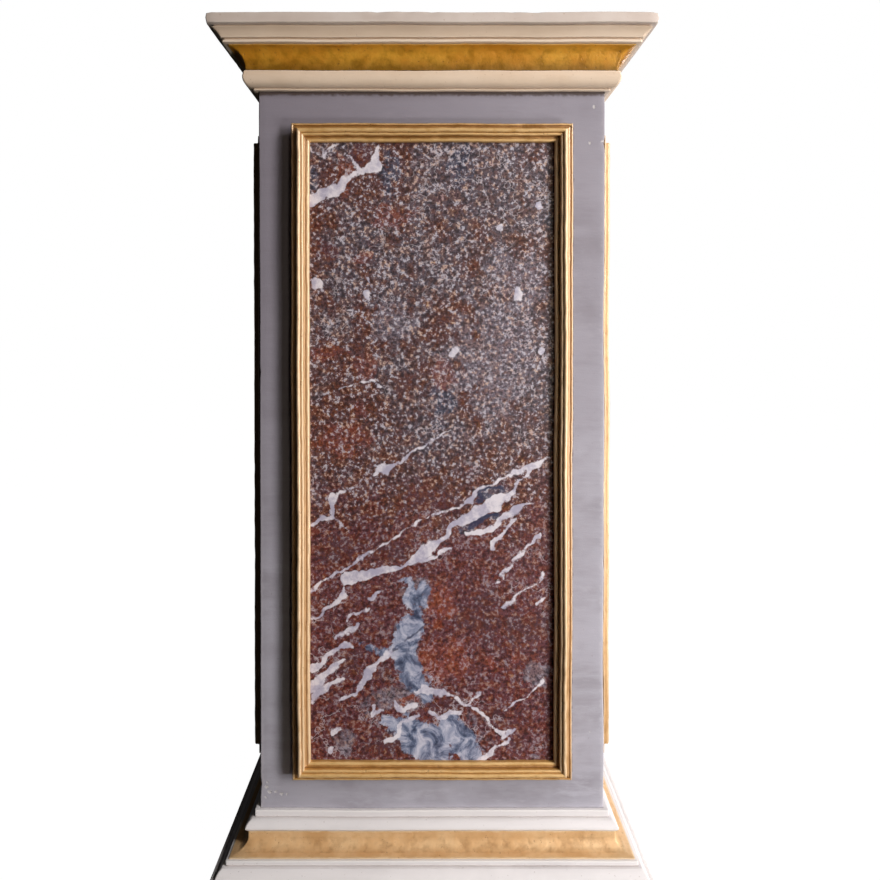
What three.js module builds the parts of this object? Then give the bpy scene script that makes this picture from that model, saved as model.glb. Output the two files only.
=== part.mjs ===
// Square pedestal column of painted and gilded wood, with a framed marble slab on each side.
// Millimetres, +Z up. The origin is at the centre of the underside. The front looks along -Y.

import * as THREE from "three";

// Clearance between neighbouring pieces
const GAP = 0.3;

// Shaft: a hollow square box of four boards with mitred corners
const SHAFT_WIDTH = 432;
const SHAFT_BOARD_THICKNESS = 18;
const SHAFT_SHOWN_HEIGHT = 899; // from the base mouldings up to the cornice mouldings

// Frame: its place on each face of the shaft
const FRAME_SIDE_MARGIN = 42;
const FRAME_HEAD_MARGIN = 42;
const FRAME_FOOT_MARGIN = 42;

// Frame: widths of the members' forms, from the outer edge to the marble
const OUTER_BEAD_WIDTH = 2.6;
const HOLLOW_WIDTH = 5.1;
const RIDGE_WIDTH = 4.9;
const INNER_BEAD_WIDTH = 3.4;
const COVE_WIDTH = 1.7;
const SIGHT_BEAD_WIDTH = 4.5;

// Frame: heights of the members' forms, from the marble outwards
const SIGHT_WALL = 3.7; // under the sight bead, where the frame laps over the marble
const SIGHT_STEP = 1;
const COVE_HEIGHT = 2;
const COVE_FACE = 3.5;
const RIDGE_QUIRK = 2;
const RIDGE_FILLET = 2;
const HOLLOW_DEPTH = 5;

// Marble slab behind each frame
const SLAB_THICKNESS = 5;
const SLAB_LAP = 4; // how far the frame covers the slab's edge

// Cornice, lower moulding: a small fillet with a quarter round over it
const CORNICE_FOOT_PROJECTION = 5.5;
const CORNICE_FOOT_FILLET = 2.5;
const CORNICE_ROUND_STEP = 1;
const CORNICE_ROUND_REACH = 10;
const CORNICE_ROUND_HEIGHT = 12;
const CORNICE_ROUND_FULLNESS = 8.6; // how far the round bulges from its foot
const CORNICE_NOSE_HEIGHT = 6.5;
const CORNICE_NOSE_TAPER = 1.3;

// Cornice, gilt cove
const CORNICE_COVE_SETBACK = 2;
const CORNICE_COVE_REACH = 16.8;
const CORNICE_COVE_HEIGHT = 25;
const CORNICE_COVE_LIP = 1;

// Cornice, upper moulding: fillet, quirk, hollow band and groove
const CORNICE_HEAD_STEP = 5.5;
const CORNICE_HEAD_FILLET = 3;
const CORNICE_QUIRK_DEPTH = 1.5;
const CORNICE_QUIRK_HEIGHT = 1.9;
const CORNICE_BAND_STEP = 1.6;
const CORNICE_BAND_REACH = 8.4;
const CORNICE_BAND_HEIGHT = 9.6;
const CORNICE_BAND_HOLLOW = 1.4;
const CORNICE_GROOVE_DEPTH = 1.8;
const CORNICE_GROOVE_HEIGHT = 2;

// Top board
const TOP_BOARD_THICKNESS = 12;
const TOP_BOARD_OVERHANG = 5; // past the cornice's widest moulding
const TOP_BOARD_ARRIS = 2;
const TOP_BOARD_CORNER = 4;

// Base, upper moulding: a tall fillet with a quarter round under it
const BASE_HEAD_PROJECTION = 5.5;
const BASE_HEAD_FILLET = 7.5;
const BASE_QUIRK_DEPTH = 1;
const BASE_QUIRK_HEIGHT = 1;
const BASE_ROUND_STEP = 2.1;
const BASE_ROUND_REACH = 8;
const BASE_ROUND_HEIGHT = 8.5;
const BASE_ROUND_FULLNESS = 7;
const BASE_NOSE_HEIGHT = 2.5;
const BASE_NOSE_TAPER = 1.6;

// Base, gilt cove
const BASE_COVE_SETBACK = 1.7;
const BASE_COVE_REACH = 12.2;
const BASE_COVE_FACE = 8;
const BASE_COVE_HEIGHT = 11.9;
const BASE_TOE_REACH = 6.6;
const BASE_TOE_DROP = 0.8;
const BASE_TOE_LIP = 0.8;

// Base, lower moulding: fillet, quirk and a sloping round
const BASE_FOOT_STEP = 3.1;
const BASE_FOOT_FILLET = 4.7;
const BASE_FOOT_QUIRK_DEPTH = 1.2;
const BASE_FOOT_QUIRK_HEIGHT = 1.2;
const BASE_SLOPE_STEP = 3.6;
const BASE_SLOPE_REACH = 7;
const BASE_SLOPE_HEIGHT = 9.6;
const BASE_SLOPE_FULLNESS = 4.6;
const BASE_SLOPE_LIP = 1;

// Plinth board, which the column stands on
const PLINTH_HEIGHT = 32;
const PLINTH_OVERHANG = 6.2; // past the base's widest moulding
const PLINTH_ARRIS = 1.5;
const PLINTH_CORNER = 3;

// Facets: straight pieces in each curve of a profile
const CURVE_PIECES = 7;
const ARRIS_PIECES = 2;

// Projections from the shaft's face, from the shaft outwards
const corniceRoundFoot = CORNICE_FOOT_PROJECTION + CORNICE_ROUND_STEP;
const corniceRoundHead = corniceRoundFoot + CORNICE_ROUND_REACH;
const corniceCoveFoot = corniceRoundHead - CORNICE_NOSE_TAPER - CORNICE_COVE_SETBACK;
const corniceCoveHead = corniceCoveFoot + CORNICE_COVE_REACH;
const corniceFillet = corniceCoveHead + CORNICE_HEAD_STEP;
const corniceBandFoot = corniceFillet + CORNICE_BAND_STEP;
const corniceBandHead = corniceBandFoot + CORNICE_BAND_REACH;
const topProjection = corniceBandHead + TOP_BOARD_OVERHANG;

const baseRoundHead = BASE_HEAD_PROJECTION + BASE_ROUND_STEP;
const baseRoundFoot = baseRoundHead + BASE_ROUND_REACH;
const baseCoveHead = baseRoundFoot - BASE_NOSE_TAPER - BASE_COVE_SETBACK;
const baseCoveFoot = baseCoveHead + BASE_COVE_REACH;
const baseToe = baseCoveFoot + BASE_TOE_REACH;
const baseFillet = baseToe + BASE_FOOT_STEP;
const baseSlopeHead = baseFillet + BASE_SLOPE_STEP;
const baseSlopeFoot = baseSlopeHead + BASE_SLOPE_REACH;
const plinthProjection = baseSlopeFoot + PLINTH_OVERHANG;

// Heights of the pieces, and where each one starts
const baseLowerHeight = BASE_SLOPE_LIP + BASE_SLOPE_HEIGHT + BASE_FOOT_QUIRK_HEIGHT + BASE_FOOT_FILLET;
const baseCoveHeight = BASE_TOE_LIP + BASE_TOE_DROP + BASE_COVE_HEIGHT + BASE_COVE_FACE;
const baseUpperHeight = BASE_NOSE_HEIGHT + BASE_ROUND_HEIGHT + BASE_QUIRK_HEIGHT + BASE_HEAD_FILLET;
const corniceLowerHeight = CORNICE_FOOT_FILLET + CORNICE_ROUND_HEIGHT + CORNICE_NOSE_HEIGHT;
const corniceCoveHeight = CORNICE_COVE_HEIGHT + CORNICE_COVE_LIP;
const corniceUpperHeight =
  CORNICE_HEAD_FILLET + CORNICE_QUIRK_HEIGHT + CORNICE_BAND_HEIGHT + CORNICE_GROOVE_HEIGHT;

const shaftBottom = PLINTH_HEIGHT + GAP;
const baseLowerBottom = shaftBottom;
const baseCoveBottom = baseLowerBottom + baseLowerHeight + GAP;
const baseUpperBottom = baseCoveBottom + baseCoveHeight + GAP;
const shaftShownBottom = baseUpperBottom + baseUpperHeight;
const shaftShownTop = shaftShownBottom + SHAFT_SHOWN_HEIGHT;
const corniceLowerBottom = shaftShownTop;
const corniceCoveBottom = corniceLowerBottom + corniceLowerHeight + GAP;
const corniceUpperBottom = corniceCoveBottom + corniceCoveHeight + GAP;
const shaftTop = corniceUpperBottom + corniceUpperHeight;
const topBoardBottom = shaftTop + GAP;

// Frame and slab sizes
const shaftFace = SHAFT_WIDTH / 2;
const frameWidth = SHAFT_WIDTH - 2 * FRAME_SIDE_MARGIN;
const frameHeight = SHAFT_SHOWN_HEIGHT - FRAME_HEAD_MARGIN - FRAME_FOOT_MARGIN;
const frameCentre = shaftShownBottom + FRAME_FOOT_MARGIN + frameHeight / 2;
const memberWidth =
  OUTER_BEAD_WIDTH + HOLLOW_WIDTH + RIDGE_WIDTH + INNER_BEAD_WIDTH + COVE_WIDTH + SIGHT_BEAD_WIDTH;
const slabWidth = frameWidth - 2 * memberWidth + 2 * SLAB_LAP;
const slabHeight = frameHeight - 2 * memberWidth + 2 * SLAB_LAP;

// At a mitre both lengths stop short, so that the joint is one clearance wide
const mitreSetback = GAP / Math.SQRT2;

const QUARTER = Math.PI / 2;

// Materials, one new one for each mesh
function greyPaint() {
  return new THREE.MeshStandardMaterial({ color: 0xa5a0a8, roughness: 0.72, metalness: 0 });
}

function creamPaint() {
  return new THREE.MeshStandardMaterial({ color: 0xcdb8a0, roughness: 0.65, metalness: 0 });
}

function whitePaint() {
  return new THREE.MeshStandardMaterial({ color: 0xd9d3d2, roughness: 0.6, metalness: 0 });
}

function gilding() {
  return new THREE.MeshStandardMaterial({ color: 0xc69444, roughness: 0.42, metalness: 0.65 });
}

function redMarble() {
  return new THREE.MeshStandardMaterial({ color: 0x6d5453, roughness: 0.3, metalness: 0 });
}

// Profiles of the cornice and the base: x is the projection from the shaft, y is the height

function corniceLowerProfile() {
  const roundTop = CORNICE_FOOT_FILLET + CORNICE_ROUND_HEIGHT;
  const profile = new THREE.Shape();
  profile.moveTo(0, 0);
  profile.lineTo(CORNICE_FOOT_PROJECTION, 0);
  profile.lineTo(CORNICE_FOOT_PROJECTION, CORNICE_FOOT_FILLET);
  profile.lineTo(corniceRoundFoot, CORNICE_FOOT_FILLET);
  profile.bezierCurveTo(
    corniceRoundFoot + CORNICE_ROUND_FULLNESS / 2,
    CORNICE_FOOT_FILLET,
    corniceRoundHead,
    roundTop - CORNICE_ROUND_FULLNESS,
    corniceRoundHead,
    roundTop,
  );
  profile.lineTo(corniceRoundHead - CORNICE_NOSE_TAPER, corniceLowerHeight);
  profile.lineTo(0, corniceLowerHeight);
  return profile;
}

function corniceCoveProfile() {
  const profile = new THREE.Shape();
  profile.moveTo(0, 0);
  profile.absellipse(
    corniceCoveHead, 0, CORNICE_COVE_REACH, CORNICE_COVE_HEIGHT, 2 * QUARTER, QUARTER, true,
  );
  profile.lineTo(corniceCoveHead, corniceCoveHeight);
  profile.lineTo(0, corniceCoveHeight);
  return profile;
}

function corniceUpperProfile() {
  const bandBottom = CORNICE_HEAD_FILLET + CORNICE_QUIRK_HEIGHT;
  const bandTop = bandBottom + CORNICE_BAND_HEIGHT;
  const profile = new THREE.Shape();
  profile.moveTo(0, 0);
  profile.lineTo(corniceFillet, 0);
  profile.lineTo(corniceFillet, CORNICE_HEAD_FILLET);
  profile.lineTo(corniceFillet - CORNICE_QUIRK_DEPTH, CORNICE_HEAD_FILLET);
  profile.lineTo(corniceFillet - CORNICE_QUIRK_DEPTH, bandBottom);
  profile.lineTo(corniceBandFoot, bandBottom);
  profile.quadraticCurveTo(
    corniceBandFoot + CORNICE_BAND_REACH / 2 - CORNICE_BAND_HOLLOW,
    bandBottom + CORNICE_BAND_HEIGHT / 2 + CORNICE_BAND_HOLLOW,
    corniceBandHead,
    bandTop,
  );
  profile.lineTo(corniceBandHead - CORNICE_GROOVE_DEPTH, bandTop);
  profile.lineTo(corniceBandHead - CORNICE_GROOVE_DEPTH, corniceUpperHeight);
  profile.lineTo(0, corniceUpperHeight);
  return profile;
}

function baseUpperProfile() {
  const roundTop = BASE_NOSE_HEIGHT + BASE_ROUND_HEIGHT;
  const filletFoot = roundTop + BASE_QUIRK_HEIGHT;
  const profile = new THREE.Shape();
  profile.moveTo(0, 0);
  profile.lineTo(baseRoundFoot - BASE_NOSE_TAPER, 0);
  profile.lineTo(baseRoundFoot, BASE_NOSE_HEIGHT);
  profile.bezierCurveTo(
    baseRoundFoot,
    BASE_NOSE_HEIGHT + BASE_ROUND_FULLNESS / 2,
    baseRoundHead + BASE_ROUND_FULLNESS / 2,
    roundTop,
    baseRoundHead,
    roundTop,
  );
  profile.lineTo(BASE_HEAD_PROJECTION - BASE_QUIRK_DEPTH, roundTop);
  profile.lineTo(BASE_HEAD_PROJECTION - BASE_QUIRK_DEPTH, filletFoot);
  profile.lineTo(BASE_HEAD_PROJECTION, filletFoot);
  profile.lineTo(BASE_HEAD_PROJECTION, baseUpperHeight);
  profile.lineTo(0, baseUpperHeight);
  return profile;
}

function baseCoveProfile() {
  const toeTop = BASE_TOE_LIP + BASE_TOE_DROP;
  const profile = new THREE.Shape();
  profile.moveTo(0, 0);
  profile.lineTo(baseToe, 0);
  profile.lineTo(baseToe, BASE_TOE_LIP);
  profile.lineTo(baseCoveFoot, toeTop);
  profile.absellipse(
    baseCoveFoot, toeTop + BASE_COVE_HEIGHT, BASE_COVE_REACH, BASE_COVE_HEIGHT,
    -QUARTER, -2 * QUARTER, true,
  );
  profile.lineTo(baseCoveHead, baseCoveHeight);
  profile.lineTo(0, baseCoveHeight);
  return profile;
}

function baseLowerProfile() {
  const slopeTop = BASE_SLOPE_LIP + BASE_SLOPE_HEIGHT;
  const filletFoot = slopeTop + BASE_FOOT_QUIRK_HEIGHT;
  const profile = new THREE.Shape();
  profile.moveTo(0, 0);
  profile.lineTo(baseSlopeFoot, 0);
  profile.lineTo(baseSlopeFoot, BASE_SLOPE_LIP);
  profile.quadraticCurveTo(
    baseSlopeHead + BASE_SLOPE_FULLNESS,
    BASE_SLOPE_LIP + BASE_SLOPE_HEIGHT / 2 + BASE_SLOPE_FULLNESS / 2,
    baseSlopeHead,
    slopeTop,
  );
  profile.lineTo(baseFillet - BASE_FOOT_QUIRK_DEPTH, slopeTop);
  profile.lineTo(baseFillet - BASE_FOOT_QUIRK_DEPTH, filletFoot);
  profile.lineTo(baseFillet, filletFoot);
  profile.lineTo(baseFillet, baseLowerHeight);
  profile.lineTo(0, baseLowerHeight);
  return profile;
}

// A round bead across the frame's profile, from one springing point to the other
function bead(profile, start, width, springing) {
  profile.absellipse(start + width / 2, springing, width / 2, width / 2, 2 * QUARTER, 0, true);
}

// Profile of a frame member: x runs from the outer edge to the marble, y stands off the shaft
function frameProfile() {
  const hollowStart = OUTER_BEAD_WIDTH;
  const ridgeStart = hollowStart + HOLLOW_WIDTH;
  const innerStart = ridgeStart + RIDGE_WIDTH;
  const coveStart = innerStart + INNER_BEAD_WIDTH;
  const sightStart = coveStart + COVE_WIDTH;
  const rebate = SLAB_THICKNESS + GAP;
  const sightSpringing = rebate + SIGHT_WALL;
  const coveTop = sightSpringing + SIGHT_STEP + COVE_HEIGHT;
  const innerSpringing = coveTop + COVE_FACE;
  const ridgeSpringing = innerSpringing + RIDGE_QUIRK;
  const hollowTop = ridgeSpringing - RIDGE_FILLET;
  const outerSpringing = hollowTop - HOLLOW_DEPTH;
  const rebateEdge = memberWidth - SLAB_LAP - GAP;
  const profile = new THREE.Shape();
  profile.moveTo(0, 0);
  bead(profile, 0, OUTER_BEAD_WIDTH, outerSpringing);
  profile.absellipse(hollowStart, hollowTop, HOLLOW_WIDTH, HOLLOW_DEPTH, -QUARTER, 0, false);
  bead(profile, ridgeStart, RIDGE_WIDTH, ridgeSpringing);
  bead(profile, innerStart, INNER_BEAD_WIDTH, innerSpringing);
  profile.absellipse(sightStart, coveTop, COVE_WIDTH, COVE_HEIGHT, -2 * QUARTER, -QUARTER, false);
  bead(profile, sightStart, SIGHT_BEAD_WIDTH, sightSpringing);
  profile.lineTo(memberWidth, rebate);
  profile.lineTo(rebateEdge, rebate);
  profile.lineTo(rebateEdge, 0);
  return profile;
}

// A straight length of a profile, swept one unit long, whose vertices place() then sets
function length(profile, place) {
  const geometry = new THREE.ExtrudeGeometry(profile, {
    depth: 1,
    steps: 1,
    bevelEnabled: false,
    curveSegments: CURVE_PIECES,
  });
  const position = geometry.attributes.position;
  for (let i = 0; i < position.count; i += 1) {
    const end = position.getZ(i) > 0.5 ? -1 : 1;
    position.setXYZ(i, ...place(position.getX(i), position.getY(i), end));
  }
  geometry.computeVertexNormals();
  return geometry;
}

// A moulding round the shaft, mitred at both ends, with its back against the face at -Y
function mouldingLength(profile) {
  const back = shaftFace + GAP;
  return length(profile, (projection, height, end) => [
    end * (back + projection - mitreSetback),
    -(back + projection),
    height,
  ]);
}

// A member along the top of a frame centred on the origin. A turn about Y makes the other three
function memberLength(across, along) {
  return length(frameProfile(), (inwards, outwards, end) => [
    end * (across / 2 - inwards - mitreSetback),
    -outwards,
    along / 2 - inwards,
  ]);
}

// A square board with rounded corners and arrises, lying flat on z = 0
function squareBoard(width, thickness, corner, arris) {
  const half = width / 2 - corner;
  const outline = new THREE.Shape();
  outline.absarc(half, half, corner, 0, QUARTER);
  outline.absarc(-half, half, corner, QUARTER, 2 * QUARTER);
  outline.absarc(-half, -half, corner, 2 * QUARTER, 3 * QUARTER);
  outline.absarc(half, -half, corner, 3 * QUARTER, 4 * QUARTER);
  const geometry = new THREE.ExtrudeGeometry(outline, {
    depth: thickness - 2 * arris,
    bevelThickness: arris,
    bevelSize: arris,
    bevelOffset: -arris,
    bevelSegments: ARRIS_PIECES,
    curveSegments: ARRIS_PIECES,
  });
  geometry.translate(0, 0, arris);
  return geometry;
}

// One board of the shaft, upright on z = 0 with its outer face towards -Y
function shaftBoard() {
  const outer = shaftFace - mitreSetback;
  const inner = outer - SHAFT_BOARD_THICKNESS;
  const plan = new THREE.Shape();
  plan.moveTo(-outer, -shaftFace);
  plan.lineTo(outer, -shaftFace);
  plan.lineTo(inner, -shaftFace + SHAFT_BOARD_THICKNESS);
  plan.lineTo(-inner, -shaftFace + SHAFT_BOARD_THICKNESS);
  return new THREE.ExtrudeGeometry(plan, { depth: shaftTop - shaftBottom, bevelEnabled: false });
}

function piece(name, geometry, material) {
  const mesh = new THREE.Mesh(geometry, material);
  mesh.name = name;
  return mesh;
}

// The four mitred members of one side's frame, and the slab that they hold
function panel(side) {
  const group = new THREE.Group();
  group.position.set(0, -(shaftFace + GAP), frameCentre);
  const rails = memberLength(frameWidth, frameHeight);
  const stiles = memberLength(frameHeight, frameWidth);
  const members = [
    ["top_rail", rails, 0],
    ["right_stile", stiles, QUARTER],
    ["bottom_rail", rails, 2 * QUARTER],
    ["left_stile", stiles, -QUARTER],
  ];
  for (const [name, geometry, turn] of members) {
    const member = piece(`${side}_frame_${name}`, geometry.clone(), gilding());
    member.rotation.y = turn;
    group.add(member);
  }
  const slab = new THREE.BoxGeometry(slabWidth, SLAB_THICKNESS, slabHeight);
  const marble = piece(`${side}_marble_slab`, slab, redMarble());
  marble.position.y = -SLAB_THICKNESS / 2;
  group.add(marble);
  return group;
}

// The mouldings that go round the column, each as one mitred length to a side
const mouldings = [
  ["base_lower_moulding", baseLowerProfile(), baseLowerBottom, whitePaint],
  ["base_gilt_cove", baseCoveProfile(), baseCoveBottom, gilding],
  ["base_upper_moulding", baseUpperProfile(), baseUpperBottom, whitePaint],
  ["cornice_lower_moulding", corniceLowerProfile(), corniceLowerBottom, creamPaint],
  ["cornice_gilt_cove", corniceCoveProfile(), corniceCoveBottom, gilding],
  ["cornice_upper_moulding", corniceUpperProfile(), corniceUpperBottom, creamPaint],
];

// All that belongs to one side of the column, with the side towards -Y
function columnSide(side) {
  const group = new THREE.Group();
  const board = piece(`${side}_shaft_board`, shaftBoard(), greyPaint());
  board.position.z = shaftBottom;
  group.add(board);
  group.add(panel(side));
  for (const [name, profile, bottom, finish] of mouldings) {
    const moulding = piece(`${side}_${name}`, mouldingLength(profile), finish());
    moulding.position.z = bottom;
    group.add(moulding);
  }
  return group;
}

function topBoard() {
  const width = SHAFT_WIDTH + 2 * (GAP + topProjection);
  const board = squareBoard(width, TOP_BOARD_THICKNESS, TOP_BOARD_CORNER, TOP_BOARD_ARRIS);
  const mesh = piece("top_board", board, creamPaint());
  mesh.position.z = topBoardBottom;
  return mesh;
}

function plinthBoard() {
  const width = SHAFT_WIDTH + 2 * (GAP + plinthProjection);
  return piece(
    "plinth_board",
    squareBoard(width, PLINTH_HEIGHT, PLINTH_CORNER, PLINTH_ARRIS),
    whitePaint(),
  );
}

const column = new THREE.Group();
column.add(plinthBoard());
["front", "right", "back", "left"].forEach((side, turns) => {
  const group = columnSide(side);
  group.rotation.z = turns * QUARTER;
  column.add(group);
});
column.add(topBoard());

export default column;
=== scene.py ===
# A square pedestal column: painted and gilded mouldings round a shaft with framed marble slabs.
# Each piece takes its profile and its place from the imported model. Sizes are in millimetres, unless a
# comment says metres.

import math

import bpy
import numpy as np
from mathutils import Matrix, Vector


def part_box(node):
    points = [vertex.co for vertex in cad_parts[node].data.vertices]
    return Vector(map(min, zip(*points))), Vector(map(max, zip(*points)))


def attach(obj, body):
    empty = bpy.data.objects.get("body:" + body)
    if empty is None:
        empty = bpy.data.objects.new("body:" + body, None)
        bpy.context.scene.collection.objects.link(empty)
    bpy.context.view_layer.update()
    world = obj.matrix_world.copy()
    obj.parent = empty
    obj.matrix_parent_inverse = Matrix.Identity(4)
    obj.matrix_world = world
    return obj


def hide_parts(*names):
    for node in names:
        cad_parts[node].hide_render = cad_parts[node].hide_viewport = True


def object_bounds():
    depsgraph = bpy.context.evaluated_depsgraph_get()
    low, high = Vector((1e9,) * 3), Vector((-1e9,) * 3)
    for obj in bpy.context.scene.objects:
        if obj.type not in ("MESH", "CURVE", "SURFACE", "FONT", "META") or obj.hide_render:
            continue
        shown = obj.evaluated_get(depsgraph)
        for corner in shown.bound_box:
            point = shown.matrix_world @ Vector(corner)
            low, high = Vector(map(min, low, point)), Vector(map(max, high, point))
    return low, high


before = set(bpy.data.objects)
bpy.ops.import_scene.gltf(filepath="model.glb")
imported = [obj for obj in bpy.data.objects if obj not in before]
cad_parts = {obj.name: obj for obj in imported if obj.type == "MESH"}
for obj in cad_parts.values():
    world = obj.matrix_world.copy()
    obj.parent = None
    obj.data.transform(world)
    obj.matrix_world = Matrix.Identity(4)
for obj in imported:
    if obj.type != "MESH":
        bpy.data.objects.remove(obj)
cad_low, cad_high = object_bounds()

# Millimetres in a metre
METRE = 1000

# The four sides, in quarter turns from the front
SIDES = ("front", "right", "back", "left")

# The axis that a length runs along when its side is turned to the front
LEVEL = 0
UPRIGHT = 2

# The members of each frame
MEMBERS = (
    ("top_rail", LEVEL), ("bottom_rail", LEVEL), ("left_stile", UPRIGHT), ("right_stile", UPRIGHT),
)

# Meshing: spacing of the vertices
LENGTH_STEP = 7
PROFILE_STEP = 5
SHAFT_STEP = 8
BOARD_STEP = 6
SLAB_STEP = {"front": 2, "right": 4, "back": 4, "left": 4}

# Places along a length, counted from its mitre
MITRE_STATIONS = (0, 0.5, 1, 1.6, 2.4, 3.5, 5)

# Pieces of a rounded arris, of a board's rounded corner and of its rounded edge
ARRIS_PIECES = 3
CORNER_PIECES = 6
EDGE_PIECES = 4

# Rings on a board's flat faces: the innermost's half width, the next one's inset as a share of
# the board's half width, and the other insets
INNERMOST_RING = 12
MIDDLE_RING = 0.6
OUTER_RINGS = (60, 20, 8)

# The shortest piece of a curve that is halved, and the least angle of a sharp edge
SHORTEST_HALVED = 0.8
SHARP = math.radians(50)
TINY = 1e-9

# Arrises and mitres, softened by layers of paint and by handling. A corner that turns by more
# than CORNER_TURN is an arris. Its rounding takes at most ARRIS_SHARE of each side.
CORNER_TURN = math.radians(32)
ARRIS_SHARE = 0.42
PAINT_ARRIS = 0.7
GILT_ARRIS = 0.35
CORNICE_CORNER = 2.2
BASE_CORNER = 1.6
SHAFT_CORNER = 1.6
SMALLEST_CORNER = 0.4
SHAFT_BOARD_THICKNESS = 18

# How far a length runs past its mitre, which closes the joint, and how far from its back the
# mitre is worn in full
MITRE_CLOSING = 0.17
WEAR_START = 3

# Hand work: how far the surfaces stray from straight
WAVER_LENGTH = 150
WAVER_DEPTH = 0.3
LUMP_LENGTH = 16
GILT_LUMP_DEPTH = 0.14
PAINT_LUMP_DEPTH = 0.06
DRIFT_SPREAD = (0.6, 1.6)
WAVER_SEED = 3
LUMP_SEED = 5

# Relief: how far it looks to each side, the height that counts in full, and its spacing
RELIEF_WINDOW = 2.4
RELIEF_FULL = 0.55
RELIEF_SPACING = 0.25

# The photograph's frame and the camera's place before the column
PHOTO_PIXELS = 880
FOCAL_PIXELS = 678.5
CENTRE_COLUMN = 430.3
CENTRE_ROW = 336.5
CAMERA_PLACE = (-2, -1066, 693)
CAMERA_PITCH = math.radians(0.577)
SENSOR_WIDTH = 36
NEAREST_SEEN = 50


def rgb(red, green, blue):
    """An sRGB colour from 0 to 255 as the linear colour that a shader takes."""
    scaled = (channel / 255 for channel in (red, green, blue))
    return tuple(c / 12.92 if c < 0.04 else ((c + 0.055) / 1.055) ** 2.4 for c in scaled) + (1.0,)


def box_of(node):
    """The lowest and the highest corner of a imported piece."""
    return [np.array(corner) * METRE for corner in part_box(node)]


def framed_area():
    """The lowest and the highest corner of the front frame."""
    lows, highs = zip(*(box_of(f"front_frame_{member}") for member, _ in MEMBERS))
    return np.min(lows, axis=0), np.max(highs, axis=0)


# Hand work and damage

def turned(points, turns):
    """Points turned about the column's axis by quarter turns."""
    points = points.copy()
    for _ in range(turns % 4):
        points[..., 0], points[..., 1] = -points[..., 1].copy(), points[..., 0].copy()
    return points


def drift(points, length, seed, waves=14):
    """A smooth random vector at each point, about one unit long, that changes over length."""
    draw = np.random.default_rng(seed)
    directions = draw.normal(size=(3, waves, 3))
    directions /= np.linalg.norm(directions, axis=2, keepdims=True)
    frequency = 2 * math.pi / length * draw.uniform(*DRIFT_SPREAD, size=(3, waves))
    phases = draw.uniform(0, 2 * math.pi, size=(3, waves))
    moved = np.empty_like(points)
    for axis in range(3):
        angles = points @ (directions[axis] * frequency[axis][:, None]).T + phases[axis]
        moved[:, axis] = np.sin(angles).sum(axis=1) / math.sqrt(waves / 2)
    return moved


# Dents in the arrises of the front: place, radius and push
FRONT_DENTS = (
    ((216, -216, 926), 7, (-1.6, 0.8, 0)),
    ((216, -216, 985), 5, (-0.8, 0.8, 0)),
    ((-216, -216, 640), 8, (0.7, 0.5, 0)),
    ((-216, -216, 119), 12, (1.1, 0.7, 0)),
    ((216, -216, 402), 9, (-0.7, 0.5, 0)),
    ((266, -266, 1065), 8, (-0.9, 0.9, -0.8)),
    ((-266, -266, 1065), 7, (0.8, 0.8, -0.6)),
    ((-266, -266, 1054), 6, (1.0, 0.8, 0.4)),
    ((266, -266, 1054), 6, (-0.9, 0.7, 0.3)),
    ((120, -266, 1065), 14, (0, 0.7, -0.6)),
    ((-64, -266, 1065), 10, (0, 0.6, -0.7)),
    ((-180, -266, 1054), 9, (0, 0.8, 0.3)),
    ((262, -262, 46), 8, (-1.3, 1.3, 0)),
    ((-262, -262, 44), 8, (1.2, 1.2, 0)),
)

# Random dents: their number, and the range of their radius, of their depth and of their fall
# as a share of the depth
RANDOM_DENTS = 40
DENT_RADII = (5, 12)
DENT_DEPTHS = (0.2, 0.7)
DENT_FALLS = (-0.5, 0.1)
DENT_SEED = 11


def all_dents():
    """The dents seen on the front, and others like them round the top board and the plinth."""
    draw = np.random.default_rng(DENT_SEED)
    dents = list(FRONT_DENTS)
    reach = cad_high.x * METRE
    top = cad_high.z * METRE
    plinth = box_of("plinth_board")[1][2]
    board = box_of("top_board")[0][2]
    for _ in range(RANDOM_DENTS):
        height = draw.choice([top, board, plinth])
        along = draw.uniform(-reach, reach)
        side = int(draw.integers(4))
        radius = draw.uniform(*DENT_RADII)
        depth = draw.uniform(*DENT_DEPTHS)
        fall = depth * draw.uniform(*DENT_FALLS)
        centre = turned(np.array([[along, -reach, height]]), side)[0]
        push = turned(np.array([[0.0, depth, fall]]), side)[0]
        dents.append((centre, radius, push))
    return dents


DENTS = all_dents()


def hand_made(points, lump_depth):
    """The points of a piece in its place, moved as hand work, wear and knocks leave them."""
    upright = np.clip(points[:, 2:3] / WAVER_LENGTH, 0, 1)
    made = points + WAVER_DEPTH * upright * drift(points, WAVER_LENGTH, seed=WAVER_SEED)
    made += lump_depth * upright * drift(points, LUMP_LENGTH, seed=LUMP_SEED)
    for centre, radius, push in DENTS:
        distance = np.linalg.norm(points - np.array(centre), axis=1)
        share = np.clip(1 - (distance / radius) ** 2, 0, 1) ** 2
        made += share[:, None] * np.array(push)
    return np.clip(made, np.array(cad_low) * METRE, np.array(cad_high) * METRE)


# Meshes

def new_piece(node, points, faces, finish, attributes):
    """Makes a piece from points in millimetres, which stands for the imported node."""
    mesh = bpy.data.meshes.new("finished_" + node)
    mesh.from_pydata((points / METRE).tolist(), [], outward(points, faces))
    mesh.polygons.foreach_set("use_smooth", [True] * len(mesh.polygons))
    mesh.set_sharp_from_angle(angle=SHARP)
    for key, values in attributes.items():
        layer = mesh.attributes.new(key, "FLOAT", "POINT")
        layer.data.foreach_set("value", values.astype(np.float32))
    mesh.materials.append(finish)
    mesh.update()
    piece = bpy.data.objects.new("finished_" + node, mesh)
    bpy.context.scene.collection.objects.link(piece)
    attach(piece, "root")
    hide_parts(node)


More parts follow.
